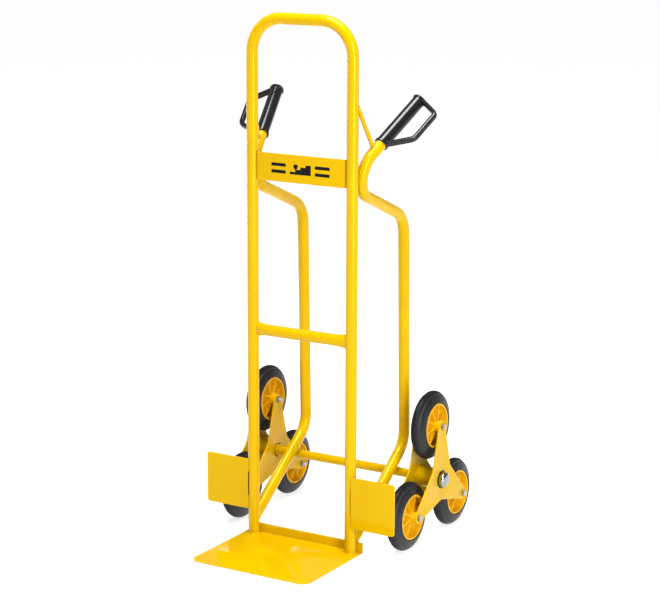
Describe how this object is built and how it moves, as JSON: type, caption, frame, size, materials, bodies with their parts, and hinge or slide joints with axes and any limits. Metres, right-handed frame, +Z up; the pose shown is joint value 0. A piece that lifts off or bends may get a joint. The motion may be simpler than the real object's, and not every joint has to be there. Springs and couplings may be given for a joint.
{
  "type": "stair-climbing hand truck",
  "caption": "Upright tube-frame hand truck with a toe plate, rear handles and a three-armed wheel star on each side for climbing stairs.",
  "frame": {"origin": "on the floor, in the middle of the footprint", "axes": "+Z up; +Y towards the user behind the truck; +X to the right of someone who faces the toe plate from the front"},
  "size_m": [0.516, 0.5924, 1.1593],
  "materials": {
    "paint": "smooth gloss powder coat",
    "hub_plastic": "moulded, semi-gloss",
    "tyre_rubber": "moulded solid rubber",
    "black_plastic": "moulded, gloss",
    "zinc": "bright zinc plate",
    "chrome": "polished"
  },
  "bodies": {
    "frame": {"main_hoop": "paint", "crossbar": "paint", "name_plate": "paint", "toe_plate": "paint", "axle": "paint", "left_wheel_guard": "paint", "left_side_tube": "paint", "left_brace_rod": "paint", "left_grip": "black_plastic", "left_axle_collar": "paint", "left_axle_washer": "zinc", "left_axle_cap": "chrome", "right_wheel_guard": "paint", "right_side_tube": "paint", "right_brace_rod": "paint", "right_grip": "black_plastic", "right_axle_collar": "paint", "right_axle_washer": "zinc", "right_axle_cap": "chrome"},
    "left_star": {"left_outer_plate": "paint", "left_inner_plate": "paint", "left_hub_tube": "paint", "left_outer_bush": "black_plastic", "left_inner_bush": "black_plastic", "left_upper_bolt": "zinc", "left_upper_nut": "zinc", "left_upper_sleeve": "zinc", "left_front_bolt": "zinc", "left_front_nut": "zinc", "left_front_sleeve": "zinc", "left_rear_bolt": "zinc", "left_rear_nut": "zinc", "left_rear_sleeve": "zinc"},
    "right_star": {"right_outer_plate": "paint", "right_inner_plate": "paint", "right_hub_tube": "paint", "right_outer_bush": "black_plastic", "right_inner_bush": "black_plastic", "right_upper_bolt": "zinc", "right_upper_nut": "zinc", "right_upper_sleeve": "zinc", "right_front_bolt": "zinc", "right_front_nut": "zinc", "right_front_sleeve": "zinc", "right_rear_bolt": "zinc", "right_rear_nut": "zinc", "right_rear_sleeve": "zinc"},
    "left_upper_wheel": {"left_upper_hub": "hub_plastic", "left_upper_tyre": "tyre_rubber"},
    "left_front_wheel": {"left_front_hub": "hub_plastic", "left_front_tyre": "tyre_rubber"},
    "left_rear_wheel": {"left_rear_hub": "hub_plastic", "left_rear_tyre": "tyre_rubber"},
    "right_upper_wheel": {"right_upper_hub": "hub_plastic", "right_upper_tyre": "tyre_rubber"},
    "right_front_wheel": {"right_front_hub": "hub_plastic", "right_front_tyre": "tyre_rubber"},
    "right_rear_wheel": {"right_rear_hub": "hub_plastic", "right_rear_tyre": "tyre_rubber"}
  },
  "joints": [
    {"name": "left_star_spin", "type": "hinge", "parent": "frame", "child": "left_star", "pos_m": [-0.21357, 0.11582, 0.13625], "axis": [1, 0, 0], "continuous": true},
    {"name": "right_star_spin", "type": "hinge", "parent": "frame", "child": "right_star", "pos_m": [0.21357, 0.11582, 0.13625], "axis": [1, 0, 0], "continuous": true},
    {"name": "left_upper_wheel_spin", "type": "hinge", "parent": "left_star", "child": "left_upper_wheel", "pos_m": [-0.21357, 0.11582, 0.25675], "axis": [1, 0, 0], "continuous": true},
    {"name": "left_front_wheel_spin", "type": "hinge", "parent": "left_star", "child": "left_front_wheel", "pos_m": [-0.21357, 0.01146, 0.076], "axis": [1, 0, 0], "continuous": true},
    {"name": "left_rear_wheel_spin", "type": "hinge", "parent": "left_star", "child": "left_rear_wheel", "pos_m": [-0.21357, 0.22018, 0.076], "axis": [1, 0, 0], "continuous": true},
    {"name": "right_upper_wheel_spin", "type": "hinge", "parent": "right_star", "child": "right_upper_wheel", "pos_m": [0.21357, 0.11582, 0.25675], "axis": [1, 0, 0], "continuous": true},
    {"name": "right_front_wheel_spin", "type": "hinge", "parent": "right_star", "child": "right_front_wheel", "pos_m": [0.21357, 0.01146, 0.076], "axis": [1, 0, 0], "continuous": true},
    {"name": "right_rear_wheel_spin", "type": "hinge", "parent": "right_star", "child": "right_rear_wheel", "pos_m": [0.21357, 0.22018, 0.076], "axis": [1, 0, 0], "continuous": true}
  ]
}
